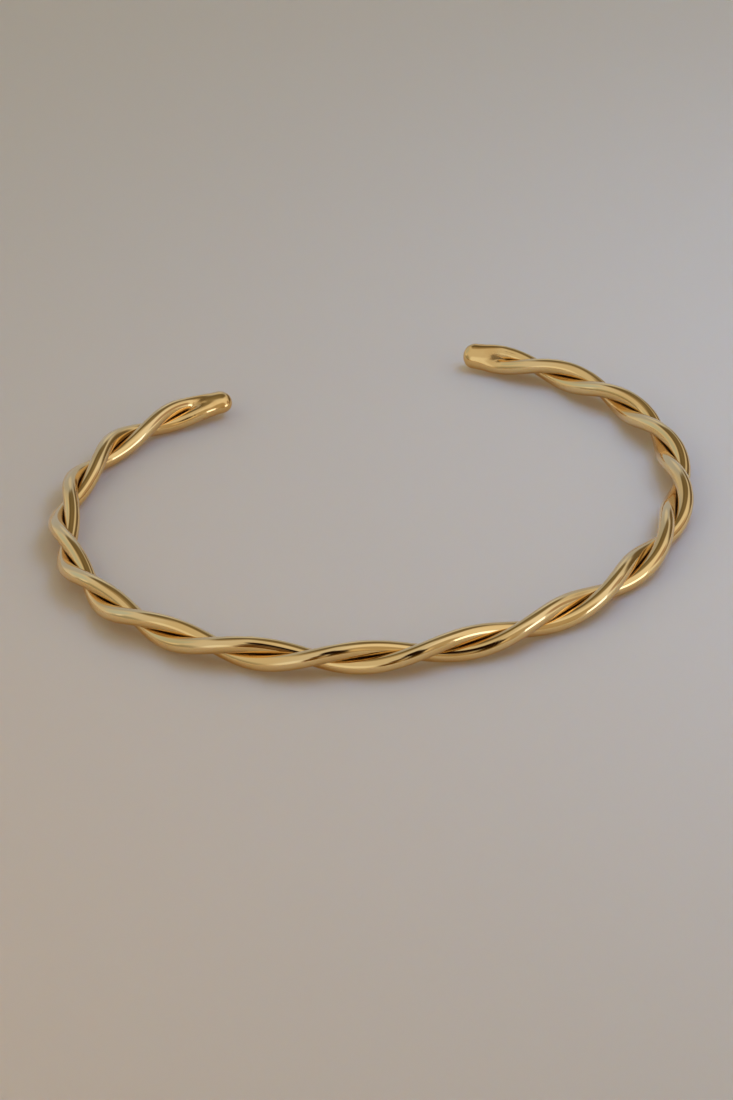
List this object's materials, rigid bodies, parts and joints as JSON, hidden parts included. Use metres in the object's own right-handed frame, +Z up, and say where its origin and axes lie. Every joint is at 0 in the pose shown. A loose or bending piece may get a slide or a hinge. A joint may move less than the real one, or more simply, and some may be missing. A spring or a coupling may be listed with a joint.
{
  "type": "cuff bangle",
  "caption": "Open cuff bangle of polished round wire twisted in a loose left-hand lay, bent to a slightly flattened round bow, with soldered, rounded ends at its mouth.",
  "frame": {"origin": "middle of the underside of the box that holds the cuff as it lies flat", "axes": "+Z up from the surface it lies on; +X to the wearer's side that the picture shows on the right; the middle of the twisted wires faces -Y and the mouth faces +Y"},
  "size_m": [0.062, 0.0548, 0.0031],
  "materials": {
    "polished_wire": "drawn wire, gold plated and mirror polished",
    "polished_solder": "soldered, filed round, gold plated and polished"
  },
  "bodies": {
    "root": {"wire_a": "polished_wire", "wire_b": "polished_wire", "left_end": "polished_solder", "right_end": "polished_solder"}
  },
  "joints": []
}
